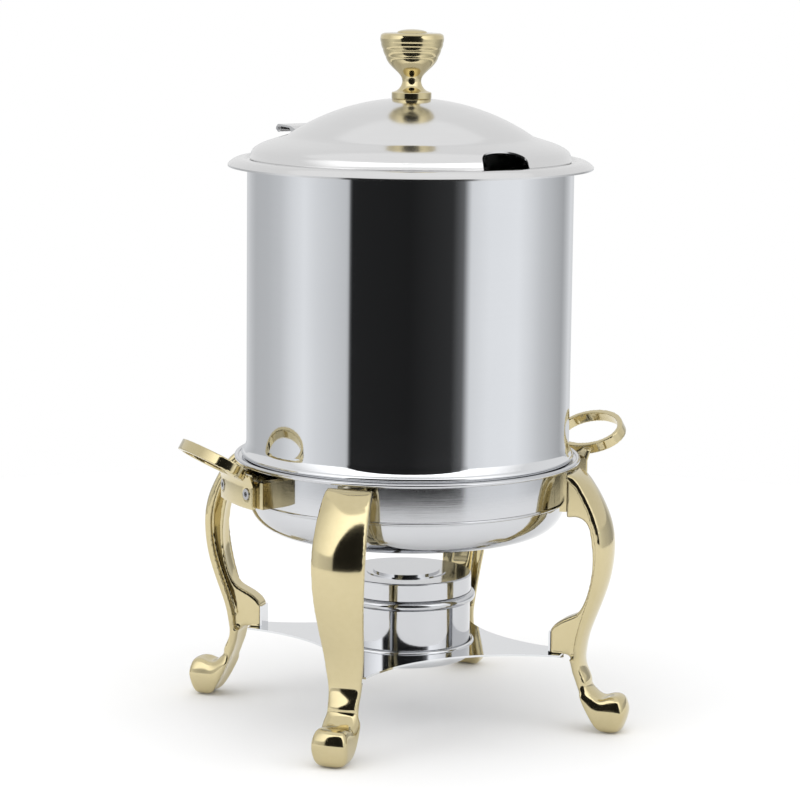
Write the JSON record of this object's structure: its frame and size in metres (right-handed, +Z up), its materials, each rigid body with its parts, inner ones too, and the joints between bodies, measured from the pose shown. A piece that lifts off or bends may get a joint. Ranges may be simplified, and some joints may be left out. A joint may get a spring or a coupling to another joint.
{
  "type": "soup kettle",
  "caption": "Deep round soup kettle with hinged lid and brass knob, over a water pan on a curved-leg brass and steel stand with a fuel burner.",
  "frame": {"origin": "on the floor under the centre of the kettle", "axes": "+Z up; the two handles lie along X; the four legs stand on the diagonals; the lid opens towards +Y, with its hinge 8.6 degrees from +Y towards -X"},
  "size_m": [0.3812, 0.2796, 0.5327],
  "materials": {
    "polished_steel": "mirror polished stainless steel",
    "satin_steel": "satin to polished stainless steel",
    "screw_steel": "plain stainless steel",
    "brass": "pale polished brass",
    "can_steel": "plain tinned steel",
    "fuel_gel": "wet translucent gel"
  },
  "bodies": {
    "stand": {"support_hoop": "polished_steel", "leg_pads": "brass", "bracket_pads": "brass", "leg_bolts": "screw_steel", "bracket_bolts": "screw_steel", "leg_back_left": "brass", "leg_back_right": "brass", "leg_front_left": "brass", "leg_front_right": "brass", "burner_shelf": "polished_steel", "shelf_screws": "screw_steel", "bracket_left": "brass", "bracket_right": "brass", "handle_left": "brass", "handle_right": "brass", "handle_screws_left": "screw_steel", "handle_screws_right": "screw_steel"},
    "pan": {"water_pan": "polished_steel"},
    "outer_jacket": {"jacket": "polished_steel"},
    "inset": {"soup_inset": "satin_steel", "hinge_flange_leaf": "satin_steel", "hinge_pin": "screw_steel"},
    "lid": {"lid_dome": "satin_steel", "knob": "brass", "knob_screw": "screw_steel", "knob_washer": "screw_steel", "hinge_lid_leaf": "satin_steel"},
    "fuel_holder": {"burner_cup": "polished_steel", "fuel_can": "can_steel", "fuel_gel": "fuel_gel"},
    "snuffer": {"snuffer_cover": "polished_steel"}
  },
  "joints": [
    {"name": "pan_lift", "type": "slide", "parent": "stand", "child": "pan", "axis": [0, 0, 1], "range_m": [0, 0.09]},
    {"name": "jacket_lift", "type": "slide", "parent": "pan", "child": "outer_jacket", "axis": [0, 0, 1], "range_m": [0, 0.06]},
    {"name": "inset_lift", "type": "slide", "parent": "outer_jacket", "child": "inset", "axis": [0, 0, 1], "range_m": [0, 0.245]},
    {"name": "lid_hinge", "type": "hinge", "parent": "inset", "child": "lid", "pos_m": [-0.01981, 0.13101, 0.4511], "axis": [-0.9888, -0.1495, 0], "range_deg": [0, 100]},
    {"name": "fuel_holder_lift", "type": "slide", "parent": "stand", "child": "fuel_holder", "axis": [0, 0, 1], "range_m": [0, 0.015]},
    {"name": "snuffer_lift", "type": "slide", "parent": "fuel_holder", "child": "snuffer", "axis": [0, 0, 1], "range_m": [0, 0.012]}
  ]
}
